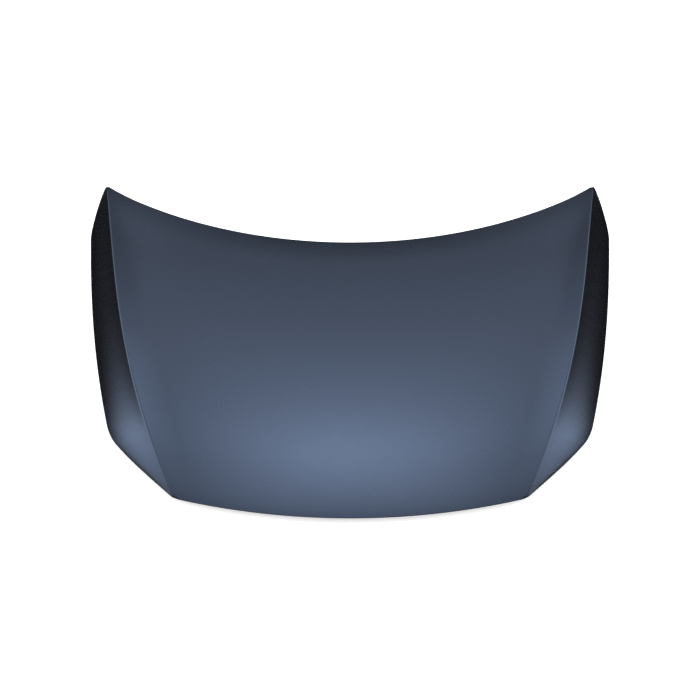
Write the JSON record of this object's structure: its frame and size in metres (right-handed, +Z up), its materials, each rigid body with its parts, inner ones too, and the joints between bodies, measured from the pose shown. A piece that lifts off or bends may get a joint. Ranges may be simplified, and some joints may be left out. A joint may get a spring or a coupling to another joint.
{
  "type": "car bonnet",
  "caption": "Steel car bonnet: creased outer skin hemmed over a ribbed inner frame, with a striker loop at the front and hinge seats at the rear corners.",
  "frame": {"origin": "middle of the bonnet's outline, on the floor it lies on skin up", "axes": "+X across the car to its left, -Y to the car's front, +Z up from the floor towards the skin"},
  "size_m": [1.4578, 1.0124, 0.1618],
  "materials": {
    "outer_coat": "satin black primer coat on sheet steel",
    "inner_coat": "satin black primer coat on sheet steel",
    "plate_coat": "black primer coat on steel plate",
    "striker_steel": "passivated steel",
    "zinc_steel": "zinc plated steel",
    "mastic": "cured grey anti-flutter mastic"
  },
  "bodies": {
    "root": {"outer_skin": "outer_coat", "inner_frame": "inner_coat", "hinge_reinforcement_left": "plate_coat", "hinge_reinforcement_right": "plate_coat", "latch_reinforcement": "plate_coat", "hinge_nut_left_front": "zinc_steel", "hinge_nut_left_rear": "zinc_steel", "hinge_nut_right_front": "zinc_steel", "hinge_nut_right_rear": "zinc_steel", "striker_plate": "striker_steel", "striker_loop": "striker_steel", "striker_bolt_left": "zinc_steel", "striker_nut_left": "zinc_steel", "striker_bolt_right": "zinc_steel", "striker_nut_right": "zinc_steel", "mastic_pad_01": "mastic", "mastic_pad_02": "mastic", "mastic_pad_03": "mastic", "mastic_pad_04": "mastic", "mastic_pad_05": "mastic", "mastic_pad_06": "mastic", "mastic_pad_07": "mastic", "mastic_pad_08": "mastic", "mastic_pad_09": "mastic", "mastic_pad_10": "mastic", "mastic_pad_11": "mastic", "mastic_pad_12": "mastic", "mastic_pad_13": "mastic", "mastic_pad_14": "mastic", "mastic_pad_15": "mastic", "mastic_pad_16": "mastic", "mastic_pad_17": "mastic", "mastic_pad_18": "mastic", "mastic_pad_19": "mastic", "mastic_pad_20": "mastic", "mastic_pad_21": "mastic", "mastic_pad_22": "mastic", "mastic_pad_23": "mastic", "mastic_pad_24": "mastic", "mastic_pad_25": "mastic", "mastic_pad_26": "mastic", "mastic_pad_27": "mastic", "mastic_pad_28": "mastic"}
  },
  "joints": []
}
